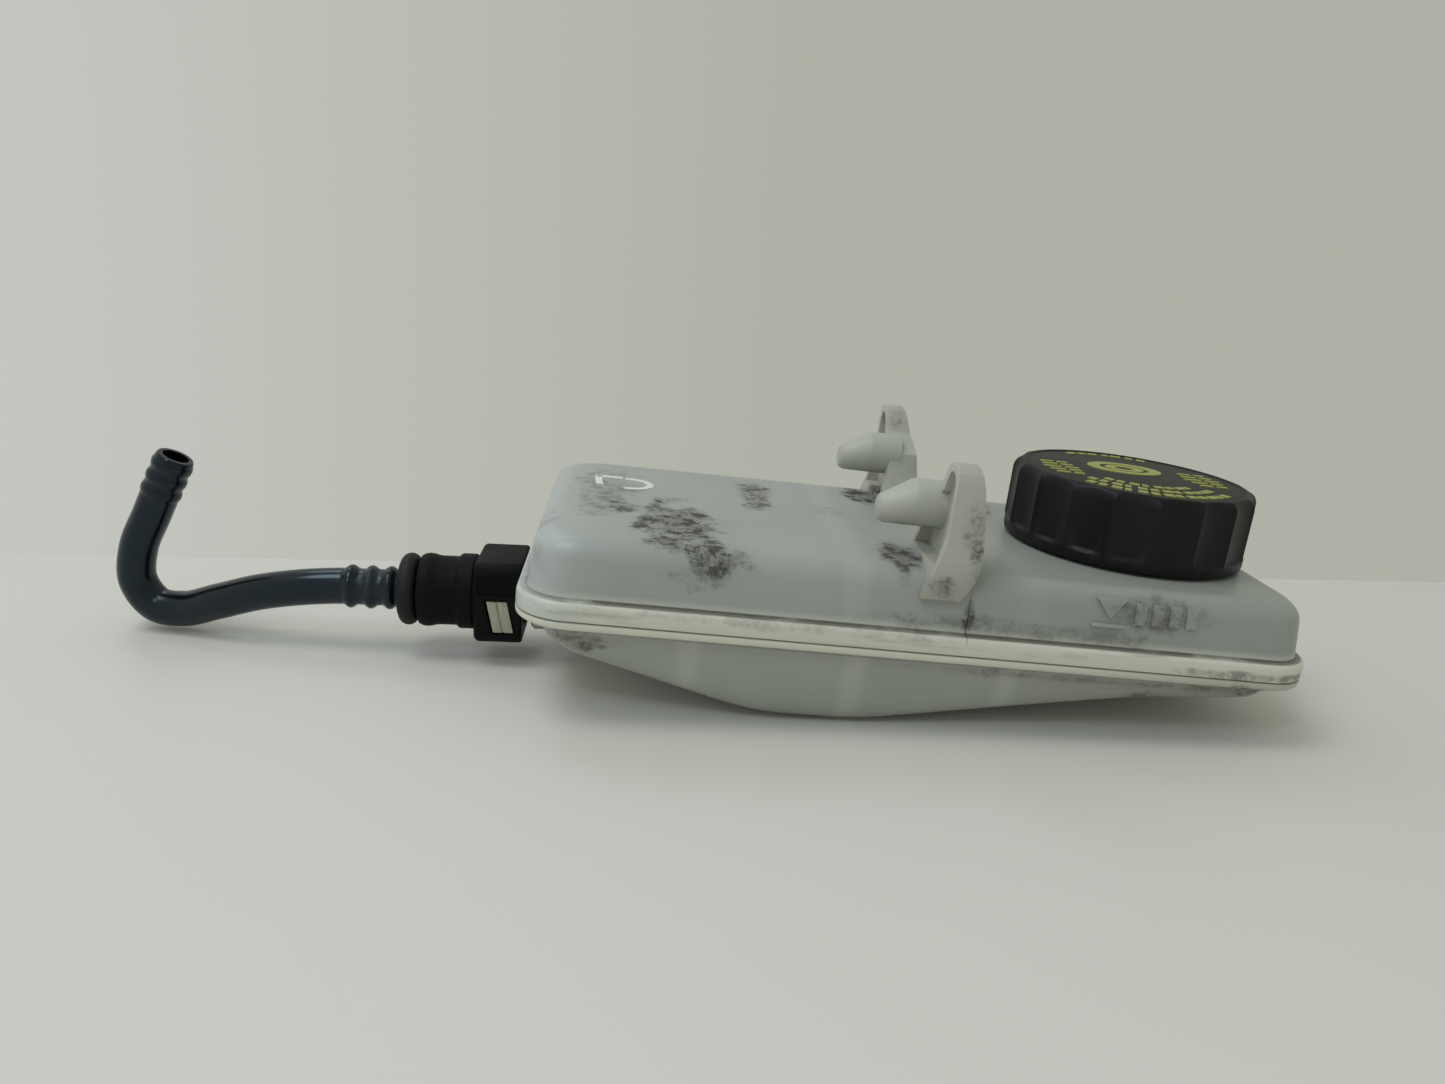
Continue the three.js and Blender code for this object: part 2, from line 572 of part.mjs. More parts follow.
// the origin is the middle of the base: the box of the resting object stands on z = 0
const group = new THREE.Group();
group.add(level);
group.updateMatrixWorld(true);
const box = new THREE.Box3().setFromObject(group, true);
level.position.set(-(box.min.x + box.max.x) / 2, -(box.min.y + box.max.y) / 2, -box.min.z);

export default group;
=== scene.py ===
"""The looks of a translucent brake-fluid reservoir with a screw cap and a formed outlet pipe.

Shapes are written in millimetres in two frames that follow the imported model: LEVEL, in which z = 0
is the top of the weld flange and x runs along the shells, and OUTLET, whose x axis is the axis of
the quick connector.
"""
import json
import math

import bmesh
import bpy
from mathutils import Matrix, Vector


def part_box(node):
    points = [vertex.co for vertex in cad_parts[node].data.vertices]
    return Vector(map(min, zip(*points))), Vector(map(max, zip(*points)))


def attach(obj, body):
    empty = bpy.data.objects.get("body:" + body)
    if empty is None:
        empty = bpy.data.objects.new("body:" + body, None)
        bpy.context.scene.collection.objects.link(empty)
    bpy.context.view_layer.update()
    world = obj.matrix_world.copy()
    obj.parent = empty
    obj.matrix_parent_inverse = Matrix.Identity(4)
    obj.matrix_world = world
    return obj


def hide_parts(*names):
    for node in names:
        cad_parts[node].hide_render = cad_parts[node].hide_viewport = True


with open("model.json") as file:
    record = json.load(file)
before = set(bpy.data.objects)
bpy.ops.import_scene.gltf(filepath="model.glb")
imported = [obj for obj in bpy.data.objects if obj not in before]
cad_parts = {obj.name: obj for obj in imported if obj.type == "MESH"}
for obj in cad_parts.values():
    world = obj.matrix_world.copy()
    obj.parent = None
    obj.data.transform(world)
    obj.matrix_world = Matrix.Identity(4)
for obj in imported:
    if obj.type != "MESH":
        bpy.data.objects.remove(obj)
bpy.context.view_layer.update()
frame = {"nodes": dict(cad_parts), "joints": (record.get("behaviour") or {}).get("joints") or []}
MM = 0.001

# ---- frames -------------------------------------------------------------------------------------
NECK_X = 50.8
NECK_TOP = 22
HEAD_LEFT, HEAD_RIGHT = -91.2, -80.9
HEAD_HALF = 9

joints = {joint["name"]: joint for joint in frame["joints"]}
neck_axis = Vector(joints["cap_turn"]["axis"])
level_x = Vector((neck_axis.z, 0, -neck_axis.x))
level_origin = (
    Vector(joints["cap_turn"]["pos_m"]) - level_x * NECK_X * MM - neck_axis * NECK_TOP * MM
)
LEVEL = Matrix((level_x, Vector((0, 1, 0)), neck_axis)).transposed().to_4x4()
LEVEL.translation = level_origin
swivel_z = joints["connector_swivel"]["pos_m"][2]
OUTLET = Matrix.Translation((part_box("connector_housing")[1].x - HEAD_RIGHT * MM, 0, swivel_z))

# ---- driving dimensions, millimetres ------------------------------------------------------------
HALF_LENGTH = 78.5
HALF_WIDTH = 36.6
CORNER = 8
HEIGHT = 11.6
WALL = 2.2
DRAFT = 0.08
FILLET = 4
LIP = 1.9
SPLIT_UPPER = -3.92
SPLIT_LOWER = -4.02
FLANGE_BOTTOM = -5.9
BOWL_HALF_LENGTH = 77.7
BOWL_HALF_WIDTH = 36.2
# x and height of the keel's underside
KEEL = [(-78.5, -10.2), (-72, -12.4), (-34, -22.5), (-28, -23.2), (-10, -23), (45, -12.8),
        (62, -11.1), (74, -10.4), (78.5, -8.8)]
# outlines seen along x, as (y, z)
EAR_FACE = [(38.1, 7), (38.1, 29.4), (37.4, 31.6), (35.6, 32.9), (33.4, 33.1), (31, 32.4),
            (29.2, 30.4), (27.6, 27.6), (20, 23.8), (19.2, 19.6), (16.4, 11.4), (16.4, 7)]
EAR_POCKET = [(36.4, 13.3), (36.4, 29.2), (35.4, 30.9), (33.4, 31.4), (31.6, 30.6), (29.4, 26.8),
              (21.8, 22.8), (21, 19.2), (19, 13.3)]
# height and x of the ear's left and right faces
EAR_LEFT = [(35, 0.3), (22, 0.3), (17, 0), (10, -2), (7, -3.2), (4, -3.6)]
EAR_RIGHT = [(35, 4.2), (31, 5.4), (26, 6.4), (15, 7.8), (11, 7.2), (7, 4.6), (4, 3)]
POCKET_BACK = 1.9
PEG_Y = 24.4
# x, radius and height of the axis of each ring of a peg
PEG = [(3, 4.8, 22.7), (-3.8, 4.8, 22.7), (-4.6, 4.7, 22.6), (-9.6, 3.2, 21.15),
       (-10.5, 2.85, 21.05), (-11, 2.45, 21), (-11.2, 2, 21)]
NECK_BORE = 16.2
THREAD_LEAD = 4.2
THREAD_STEPS, THREAD_STEP_DEGREES = 75, 6
CAP_BOTTOM, CAP_TOP, CAP_RADIUS, CAP_BORE, CAP_CEILING = 12.2, 28.4, 26, 22.6, 25.8
FLUTES = 18
FLUTE_POINTS = 14
BARREL_TAIL = -103.8
PIPE_START = -98.5
PIPE_RADIUS = 4
PIPE_BORE = 2.8
# the pipe's route after its straight start, in the LEVEL frame
PIPE_ROUTE = [(-129.8, 0.6, -15.8), (-139.2, 2, -18.3), (-148.5, 4, -22), (-156.8, 6.5, -25.4),
              (-163.4, 7.6, -25.3), (-167.5, 8, -20.2), (-167.2, 8, -12.4), (-164.1, 8, -4.2),
              (-161, 8, 3.9), (-158.9, 8, 9.1)]
CORRUGATIONS = (-110.3, -114.4, -118.7)
END_RIDGES = (2.2, 5.4, 8.6)


# ---- mesh helpers -------------------------------------------------------------------------------
def closed_mesh(name, verts, faces):
    """A mesh from points in millimetres, with its faces turned outwards."""
    mesh = bpy.data.meshes.new(name)
    mesh.from_pydata([Vector(v) * MM for v in verts], [], faces)
    mesh.validate()
    shape = bmesh.new()
    shape.from_mesh(mesh)
    bmesh.ops.recalc_face_normals(shape, faces=shape.faces)
    shape.to_mesh(mesh)
    shape.free()
    return mesh


def place(name, verts, faces, material, body, slot, base=LEVEL, sharp=35):
    """A piece from points in millimetres in one of the two frames."""
    mesh = closed_mesh(name, verts, faces)
    obj = bpy.data.objects.new(name, mesh)
    bpy.context.scene.collection.objects.link(obj)
    obj.matrix_world = base
    mesh.materials.append(material)
    mesh.shade_smooth()
    mesh.set_sharp_from_angle(angle=math.radians(sharp))
    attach(obj, body)
    return obj


def apply_modifiers(obj, sharp=35):
    """Turns the object's modifiers into its mesh."""
    graph = bpy.context.evaluated_depsgraph_get()
    mesh = bpy.data.meshes.new_from_object(obj.evaluated_get(graph), depsgraph=graph)
    obj.modifiers.clear()
    obj.data = mesh
    mesh.shade_smooth()
    mesh.set_sharp_from_angle(angle=math.radians(sharp))
    return obj


def cut(obj, *tools):
    """Removes closed helper solids, given as (verts, faces) in the piece's own frame."""
    for verts, faces in tools:
        mesh = closed_mesh("tool", verts, faces)
        tool = bpy.data.objects.new("tool", mesh)
        bpy.context.scene.collection.objects.link(tool)
        tool.matrix_world = obj.matrix_world
        modifier = obj.modifiers.new("cut", "BOOLEAN")
        modifier.operation, modifier.object, modifier.solver = "DIFFERENCE", tool, "EXACT"
        bpy.context.view_layer.update()
        apply_modifiers(obj)
        bpy.data.objects.remove(tool)
        bpy.data.meshes.remove(mesh)
    return obj


def soften(obj, width, segments=2, angle=40):
    """Rounds the piece's sharp edges."""
    modifier = obj.modifiers.new("soften", "BEVEL")
    modifier.width, modifier.segments = width * MM, segments
    modifier.limit_method, modifier.angle_limit = "ANGLE", math.radians(angle)
    modifier.harden_normals = False
    return apply_modifiers(obj)


def loft(rings, closed=False):
    """Verts and faces over equal rings; open ends are capped, a closed loft joins last to first."""
    count = len(rings[0])
    verts = [point for ring in rings for point in ring]
    rows = len(rings) if closed else len(rings) - 1
    faces = []
    for row in range(rows):
        low, high = row * count, ((row + 1) % len(rings)) * count
        for i in range(count):
            j = (i + 1) % count
            faces.append((low + i, low + j, high + j, high + i))
    if not closed:
        faces.append(tuple(reversed(range(count))))
        faces.append(tuple(range((len(rings) - 1) * count, len(rings) * count)))
    return verts, faces


def merge(*parts):
    """Several (verts, faces) as one."""
    verts, faces = [], []
    for part_verts, part_faces in parts:
        faces += [tuple(i + len(verts) for i in face) for face in part_faces]
        verts += list(part_verts)
    return verts, faces


def plan(half_length, half_width, corner, z, sides=36):
    """A rounded rectangle; z is a height or a function of (x, y)."""
    ring = []
    corners = [(1, 1, 0), (-1, 1, 1), (-1, -1, 2), (1, -1, 3)]
    for number, (sx, sy, turn) in enumerate(corners):
        for k in range(11):
            angle = (turn + k / 10) * math.pi / 2
            ring.append((sx * (half_length - corner) + corner * math.cos(angle),
                         sy * (half_width - corner) + corner * math.sin(angle)))
        nx, ny, next_turn = corners[(number + 1) % 4]
        angle = next_turn * math.pi / 2
        end = (nx * (half_length - corner) + corner * math.cos(angle),
               ny * (half_width - corner) + corner * math.sin(angle))
        start = ring[-1]
        steps = sides if number % 2 == 0 else sides // 3
        for k in range(1, steps):
            ring.append(tuple(a + (b - a) * k / steps for a, b in zip(start, end)))
    height = z if callable(z) else lambda x, y: z
    return [(x, y, height(x, y)) for x, y in ring]


def lathe(profile, segments=64, axis="z", at=(0, 0, 0), closed=False):
    """A turned shape from (radius, distance along the axis) points."""
    rings = []
    for radius, along in profile:
        ring = []
        for k in range(segments):
            angle = 2 * math.pi * k / segments
            a, b = max(radius, 0.01) * math.cos(angle), max(radius, 0.01) * math.sin(angle)
            ring.append((a + at[0], b + at[1], along + at[2]) if axis == "z"
                        else (along + at[0], a + at[1], b + at[2]))
        rings.append(ring)
    return loft(rings, closed)


def prism(outline, left, right):
    """A slab across x from an outline of (y, z); left and right are functions of z."""
    return loft([[(left(z), y, z) for y, z in outline], [(right(z), y, z) for y, z in outline]])


def slab_y(outline, y0, y1):
    """A slab across y from an outline of (x, z)."""
    return loft([[(x, y0, z) for x, z in outline], [(x, y1, z) for x, z in outline]])


def brick(x0, x1, y0, y1, z0, z1):
    return prism([(y0, z0), (y1, z0), (y1, z1), (y0, z1)], lambda z: x0, lambda z: x1)


def thread(start, section_at):
    """A helical ridge about the neck's axis; section_at(k) gives (radius, height) points."""
    rings = []
    for k in range(THREAD_STEPS + 1):
        angle = math.radians(THREAD_STEP_DEGREES * k)
        z = start + THREAD_LEAD * angle / (2 * math.pi)
        rings.append([(NECK_X + radius * math.cos(angle), radius * math.sin(angle), z + rise)
                      for radius, rise in section_at(k)])
    return loft(rings)


def polyline(points):
    """A piecewise-linear function through (input, output) points in any order."""
    ordered = sorted(points)

    def value(t):
        if t <= ordered[0][0]:
            return ordered[0][1]
        for (a, fa), (b, fb) in zip(ordered, ordered[1:]):
            if t <= b:
                return fa + (fb - fa) * (t - a) / (b - a)
        return ordered[-1][1]
    return value


def smooth(function, radius):
    """The same function with its corners rounded over a distance."""
    offsets = [radius * k / 4 for k in range(-4, 5)]
    return lambda t: sum(function(t + offset) for offset in offsets) / len(offsets)


# ---- materials ----------------------------------------------------------------------------------
class Look:
    """A procedural material: a Principled surface fed by a few noise and mask nodes."""

    def __init__(self, name, color, roughness, **sockets):
        self.material = bpy.data.materials.new(name)
        self.material.use_nodes = True
        self.material.diffuse_color = (*color, 1)
        self.tree = self.material.node_tree
        self.surface = next(n for n in self.tree.nodes if n.type == "BSDF_PRINCIPLED")
        self.where = self.tree.nodes.new("ShaderNodeTexCoord").outputs["Object"]
        for socket, value in sockets.items():
            self.surface.inputs[socket.replace("_", " ")].default_value = value
        self.color = color
        self.roughness = roughness
        self.height = None

    def node(self, kind, settings=(), **inputs):
        """A shader node; i0, i1... name an input by its number, other names by its label."""
        made = self.tree.nodes.new("ShaderNode" + kind)
        for key, value in dict(settings).items():
            setattr(made, key, value)
        for key, value in inputs.items():
            by_number = key[0] == "i" and key[1:].isdigit()
            socket = made.inputs[int(key[1:]) if by_number else key.replace("_", " ")]
            if isinstance(value, bpy.types.NodeSocket):
                self.tree.links.new(value, socket)
            else:
                socket.default_value = value
        return made

    def feed(self, socket, value):
        """Links a node's output to a socket, or sets a plain number or colour on it."""
        if isinstance(value, bpy.types.NodeSocket):
            self.tree.links.new(value, socket)
        else:
            socket.default_value = (*value, 1) if isinstance(value, tuple) else value

    def math(self, operation, a, b=0.0, clamp=False):
        settings = {"operation": operation, "use_clamp": clamp}
        return self.node("Math", settings, i0=a, i1=b).outputs[0]

    def noise(self, per_metre, detail=4, stretch=(1, 1, 1), rough=0.6):
        scaled = self.node("VectorMath", {"operation": "MULTIPLY"}, i0=self.where,
                           i1=stretch).outputs[0]
        return self.node("TexNoise", Vector=scaled, Scale=per_metre, Detail=detail,
                         Roughness=rough).outputs["Fac"]

    def ramp(self, value, low, high):
        """0 below low, 1 above high."""
        return self.node("MapRange", {"interpolation_type": "SMOOTHSTEP"}, Value=value,
                         From_Min=low, From_Max=high).outputs[0]

    def axis(self, index):
        return self.node("SeparateXYZ", Vector=self.where).outputs[index]

    def spot(self, centre, size, ragged=0.5, per_metre=160):
        """A soft-edged ellipsoid mask in millimetres, broken up by noise."""
        moved = self.node("VectorMath", {"operation": "SUBTRACT"}, i0=self.where,
                          i1=tuple(c * MM for c in centre)).outputs[0]
        scaled = self.node("VectorMath", {"operation": "DIVIDE"}, i0=moved,
                           i1=tuple(s * MM for s in size)).outputs[0]
        length = self.node("VectorMath", {"operation": "LENGTH"}, i0=scaled).outputs["Value"]
        centred = self.math("SUBTRACT", self.noise(per_metre, 6), 0.5)
        wobble = self.math("MULTIPLY", centred, 4 * ragged)
        return self.ramp(self.math("ADD", self.math("SUBTRACT", 1.0, length), wobble), 0.0, 0.55)

    def band(self, index, centre, half, soft):
        """A soft band across one axis, in millimetres."""
        off = self.math("ABSOLUTE", self.math("SUBTRACT", self.axis(index), centre * MM))
        return self.math("SUBTRACT", 1.0, self.ramp(off, half * MM, (half + soft) * MM))

    def tint(self, mask, color, amount=1.0):
        """Mixes a colour in where the mask is."""
        weight = self.math("MULTIPLY", mask, amount, clamp=True)
        mix = self.tree.nodes.new("ShaderNodeMix")
        mix.data_type = "RGBA"
        self.tree.links.new(weight, mix.inputs[0])
        self.feed(mix.inputs[6], self.color)
        self.feed(mix.inputs[7], color)
        self.color = mix.outputs[2]

    def roughen(self, mask, amount):
        change = self.math("MULTIPLY", mask, amount)
        self.roughness = self.math("ADD", self.roughness, change, clamp=True)

    def bump(self, value, millimetres):
        added = self.math("MULTIPLY", value, millimetres * MM)
        self.height = added if self.height is None else self.math("ADD", self.height, added)

    def finish(self):
        self.feed(self.surface.inputs["Base Color"], self.color)
        self.feed(self.surface.inputs["Roughness"], self.roughness)
        if self.height is not None:
            bump = self.node("Bump", Strength=1.0, Distance=1.0, Height=self.height)
            self.tree.links.new(bump.outputs[0], self.surface.inputs["Normal"])
        return self.material


# dark dirt and dust colours, also used for painted shade in creases, under the pegs and under the
# flange
GRIME_AND_SHADE = (0.03, 0.024, 0.016)
DUST_AND_SHADE = (0.16, 0.15, 0.12)


def grime_and_shade_in(look, places, strength=0.9, fine=900):
    """Caked dirt at several places: a broad stain and dark veined specks inside it. Spots set in
    creases, in recesses and under parts paint shade there as well.
    """
    veins = look.ramp(look.noise(fine * 0.3, 8, rough=0.72), 0.49, 0.57)
    specks = look.ramp(look.noise(fine, 3), 0.5, 0.62)
    for centre, size, amount in places:
        area = look.spot(centre, size)
        look.tint(area, DUST_AND_SHADE, 0.4 * amount)
        look.tint(look.math("POWER", area, 4.0), GRIME_AND_SHADE, 0.22 * amount)
        marks = look.math("MAXIMUM", veins, look.math("MULTIPLY", specks, 0.6))
        dark = look.math("MULTIPLY", area, marks)
        look.tint(dark, GRIME_AND_SHADE, strength * amount)
        look.roughen(dark, 0.3)
        look.bump(dark, 0.06)


def shell_base(name, color, roughness=0.36):
    """Milky moulded plastic with cloudy depth, fine grain and faint scuffs."""
    look = Look(name, color, roughness, IOR=1.49, Subsurface_Weight=0.18, Subsurface_Scale=0.004)
    look.surface.inputs["Subsurface Radius"].default_value = (1.0, 1.05, 1.0)
    cloud = look.noise(28, 3)
    look.tint(look.ramp(cloud, 0.42, 0.75), tuple(c * 1.1 for c in color), 0.5)
    dim = tuple(c * share for c, share in zip(color, (0.86, 0.87, 0.84)))
    look.tint(look.ramp(cloud, 0.55, 0.25), dim, 0.4)
    scuffs = look.ramp(look.noise(420, 6, (0.25, 1, 1), 0.7), 0.6, 0.72)
    look.tint(scuffs, DUST_AND_SHADE, 0.14)
    look.roughen(scuffs, 0.12)
    look.bump(look.noise(1500, 2), 0.006)
    look.bump(look.noise(90, 2), 0.03)
    return look


def upper_look():
    """The upper shell: faint baffles behind it, a cream flange, a dirty seam and its stains, painted
    shade towards the right, a painted lighter left end and dirt with painted shade at the ears'
    feet.
    """
    look = shell_base("translucent_upper", (0.365, 0.39, 0.375))
    for x in (-15, 20):
        look.tint(look.band(0, x, 1.0, 3.0), (0.44, 0.47, 0.46), 0.45)
    # painted shade: the shell darker towards its right end, away from the light on the left
    look.tint(look.ramp(look.axis(0), -0.03, 0.03), (0.26, 0.275, 0.235), 0.5)
    look.tint(look.ramp(look.axis(2), 0.002, -0.0005), (0.66, 0.67, 0.58), 0.95)
    streak = look.ramp(look.noise(130, 6, (0.22, 1, 2.4), 0.65), 0.52, 0.66)
    seam = look.band(2, 0.06, 0.1, 0.3)
    broken = look.ramp(look.noise(70, 4, (1, 1, 0.2)), 0.2, 0.5)
    look.tint(look.math("MULTIPLY", seam, broken), GRIME_AND_SHADE, 0.75)
    look.tint(look.math("MULTIPLY", look.band(2, -1.6, 2.2, 1.5), streak), DUST_AND_SHADE, 0.35)
    # centre and size in millimetres, and how strong the dirt is
    grime_and_shade_in(look, [
        ((-50, -18, 11.6), (10, 22, 5), 1.0), ((-44, -33, 9), (9, 8, 6), 0.9),
        ((-31, 14, 11.6), (5, 16, 4), 0.8), ((-60, -8, 11.6), (6, 5, 3), 0.7),
        # these two spots in the creases beside the ears' feet are dirt and painted shade together
        ((-5.5, -26, 10.5), (5, 13, 5), 1.0), ((-5, 26, 11), (5, 12, 5), 1.0),
        ((24, 24, 11.4), (5, 12, 4), 0.45), ((-66, 4, 11.6), (9, 26, 3), 0.35),
        ((-76, -20, 8), (4, 20, 6), 0.35), ((7.4, -36.6, 3), (1.2, 3, 5), 0.7),
        ((20, -36.6, 2), (40, 3, 2.2), 0.25), ((-30, -37, -1), (46, 4, 1.4), 0.15),
        ((66, -38, -3), (16, 4, 1.4), 0.5), ((45, -36, 8), (13, 3, 5.5), 0.35),
    ])
    parting = look.math("MULTIPLY", look.band(0, 7.3, 0.06, 0.12),
                        look.spot((7.3, -36.6, 3), (3, 4, 6.5), 0.1))
    look.tint(parting, GRIME_AND_SHADE, 0.8)
    # painted light: the left end of the shell lighter, on the side the light comes from
    look.tint(look.ramp(look.axis(0), -0.064, -0.079), (0.52, 0.56, 0.56), 0.5)
    stamp = look.math("MULTIPLY", look.spot((-15.5, 6, 11.6), (5.2, 7, 2), 0.1),
                      look.ramp(look.noise(1100, 2), 0.5, 0.56))
    look.tint(stamp, GRIME_AND_SHADE, 0.35)
    return look.finish()


def lower_look():
    """The lower shell: baffles, a cream flange, the thin dark joint of the shells, painted shade in
    a band under the flange and painted shade towards the right.
    """
    look = shell_base("translucent_lower", (0.36, 0.38, 0.345), 0.4)
    for x in (-46, -13, 18):
        look.tint(look.band(0, x, 0.8, 2.6), (0.47, 0.49, 0.44), 0.5)
    look.tint(look.ramp(look.axis(2), -0.0067, -0.0058), (0.68, 0.69, 0.58), 0.95)
    look.tint(look.band(2, -4.0, 0.05, 0.25), GRIME_AND_SHADE, 0.5)
    # painted shade: a soft dark band on the bowl just under the flange's overhang
    look.tint(look.band(2, -6.3, 0.1, 0.9), GRIME_AND_SHADE, 0.35)
    # painted shade: the shell darker towards its right end, away from the light on the left
    look.tint(look.ramp(look.axis(0), 0.01, 0.075), (0.27, 0.28, 0.23), 0.5)
    grime_and_shade_in(look, [((-66, -34, -9), (10, 6, 3), 0.7), ((30, -36, -8), (34, 5, 1.2), 0.25),
                    ((66, -36, -7), (13, 6, 2.6), 0.6), ((48, -30, -11), (8, 5, 2), 0.5),
                    ((-20, 0, -23), (30, 20, 3), 0.3)])
    return look.finish()


def ear_look():
    look = Look("ear_white", (0.43, 0.44, 0.385), 0.42, IOR=1.49, Subsurface_Weight=0.15,
                Subsurface_Scale=0.003)
    look.tint(look.ramp(look.noise(60, 3), 0.45, 0.7), (0.48, 0.49, 0.44), 0.6)
    look.bump(look.noise(1300, 2), 0.008)
    look.bump(look.noise(120, 3), 0.04)
    # dust and painted shade: the ear darker towards its foot, where it meets the top
    look.tint(look.ramp(look.axis(2), 0.016, 0.007), DUST_AND_SHADE, 0.3)
    # the spots in the pockets, under the pegs and at the feet are dirt and painted shade together
    grime_and_shade_in(look, [((5, -33, 22), (4, 8, 11), 0.5), ((1, -30, 9), (5, 12, 4), 0.9),
                    ((0, 24, 13), (5, 9, 5), 1.1), ((-3, -24, 18), (8, 6, 2), 0.4),
                    ((3, 33, 28), (4, 5, 7), 0.35), ((7, -36, 15), (3, 5, 7), 0.6)])
    return look.finish()


def black_look(name, color, roughness, grain, dust, **sockets):
    """Black moulded plastic: fine grain, dusty bloom and rubbed patches."""
    look = Look(name, color, roughness, **sockets)
    bloom = look.ramp(look.noise(85, 5, rough=0.65), 0.45, 0.75)
    look.tint(bloom, tuple(c + dust for c in color), 0.7)
    look.roughen(bloom, 0.12)
    scratches = look.ramp(look.noise(600, 6, (0.15, 1, 1), 0.7), 0.66, 0.74)
    look.tint(scratches, (0.08, 0.08, 0.075), 0.3)
    look.bump(look.noise(2200, 2), grain)
    return look


def pipe_look():
    # painted reflection: the bluish specular tint turns every highlight on the pipe blue, like a
    # window's light
    look = black_look("pipe_nylon", (0.003, 0.0034, 0.0045), 0.17, 0.002, 0.003,
                      IOR=1.5, Specular_IOR_Level=0.5, Specular_Tint=(0.6, 0.82, 1, 1))
    look.bump(look.noise(160, 3, (0.3, 1, 1)), 0.02)
    grime_and_shade_in(look, [((-114, 0, -14), (8, 6, 6), 0.25)], 0.4)
    return look.finish()


def cap_top_look():
    look = black_look("cap_top", (0.026, 0.026, 0.022), 0.6, 0.02, 0.015, Specular_IOR_Level=0.3)
    look.bump(look.noise(700, 3), 0.03)
    return look.finish()


def retainer_look():
    look = Look("retainer_cream", (0.4, 0.385, 0.3), 0.5)
    brushed = look.noise(1500, 4, (1, 1, 0.08))
    look.tint(look.ramp(brushed, 0.4, 0.7), (0.25, 0.24, 0.18), 0.55)
    look.bump(brushed, 0.03)
    return look.finish()


def paint_look(name, color, worn=0.55):
    look = Look(name, color, 0.5)
    look.tint(look.ramp(look.noise(900, 5), worn, worn + 0.12), tuple(c * 0.3 for c in color), 0.7)
    look.bump(look.noise(1500, 3), 0.02)
    return look.finish()


upper_material = upper_look()
lower_material = lower_look()
ear_material = ear_look()
cap_material = black_look("cap_plastic", (0.0052, 0.0054, 0.0062), 0.42, 0.012, 0.004,
                          Specular_IOR_Level=0.22).finish()
cap_top_material = cap_top_look()
housing_material = black_look("connector_plastic", (0.005, 0.0052, 0.0058), 0.48, 0.02, 0.006,
                              Specular_IOR_Level=0.07).finish()
rubber_material = black_look("seal_rubber", (0.006, 0.006, 0.006), 0.55, 0.01, 0.01,
                             Specular_IOR_Level=0.3).finish()
pipe_material = pipe_look()
retainer_material = retainer_look()
mark_material = paint_look("yellow_marks", (0.34, 0.35, 0.09), 0.6)
white_paint = paint_look("white_paint", (0.8, 0.81, 0.79), 0.64)
natural_material = ear_look()
natural_material.name = "natural_plastic"

# CAD pieces that keep their own shape get a material to match
for node, material in {
    "strainer": natural_material, "guide_bush": natural_material, "seal_spacer": natural_material,
    "cap_vent_plate": cap_material, "cap_gasket": rubber_material, "cap_diaphragm": rubber_material,
    "o_ring_outer": rubber_material, "o_ring_inner": rubber_material,
    "retainer_ring": retainer_material,
}.items():
    frame["nodes"][node].data.materials.clear()
    frame["nodes"][node].data.materials.append(material)


# ---- reservoir shells ---------------------------------------------------------------------------
def upper_rings(offset, floor_z):
    """Rings of the domed upper shell from its floor to its top, drawn in by an offset."""
    fillet = FILLET - offset
    rings = []
    for z in (floor_z, -1.5, 0.4, 2, 4, HEIGHT - FILLET):
        if z >= floor_z:
            inset = offset + DRAFT * max(z, 0)
            rings.append(plan(HALF_LENGTH - inset, HALF_WIDTH - inset, CORNER - offset, z))
    for k in range(1, 8):
        angle = k * math.pi / 14
        z = HEIGHT - offset - fillet + fillet * math.sin(angle)
        inset = offset + DRAFT * z + fillet * (1 - math.cos(angle))
        rings.append(plan(HALF_LENGTH - inset, HALF_WIDTH - inset, CORNER - offset, z))
    return rings


def flange_ring(lip, z):
    return plan(HALF_LENGTH + lip, HALF_WIDTH + lip, CORNER + LIP, z)


def build_upper_shell():
    inside = list(reversed(upper_rings(WALL, SPLIT_UPPER)))
    rim = [flange_ring(lip, z) for lip, z in (
        (LIP - 0.35, SPLIT_UPPER), (LIP - 0.08, SPLIT_UPPER + 0.12), (LIP, SPLIT_UPPER + 0.4),
        (LIP, -1.1), (LIP - 0.15, -0.55), (LIP - 0.55, -0.12), (LIP - 1.1, 0), (0.35, 0))]
    groove = [plan(HALF_LENGTH + 0.1, HALF_WIDTH + 0.1, CORNER, -0.28)]
    outside = upper_rings(0, 0.4)
    verts, faces = loft(inside + rim + groove + outside)
    shell = place("reservoir_upper", verts, faces, upper_material, "reservoir", "translucent_shell")
    cut(shell, lathe([(NECK_BORE, 5), (NECK_BORE, 16)], 72, at=(NECK_X, 0, 0)))
    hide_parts("upper_shell")


def build_neck():
    wall = [(NECK_BORE, 9.6), (NECK_BORE, 20), (17.8, 20), (17.8, 21.7), (18.1, NECK_TOP),
            (20, NECK_TOP), (20.4, 21.8), (20.6, 21.4), (20.6, 12.4), (21, 11.8), (22, 11.55),
            (22, 11), (20, 9.6)]
    neck = lathe(wall, 72, at=(NECK_X, 0, 0), closed=True)

    def section(k):
        """The thread's section, fading out at both ends."""
        crest = 20.4 + 1.5 * min(1, k / 6, (THREAD_STEPS - k) / 6)
        return [(20.3, -0.8), (crest, -0.35), (crest, 0.35), (20.3, 0.8)]
    verts, faces = merge(neck, thread(15, section))
    place("filler_neck", verts, faces, upper_material, "reservoir", "translucent_shell")


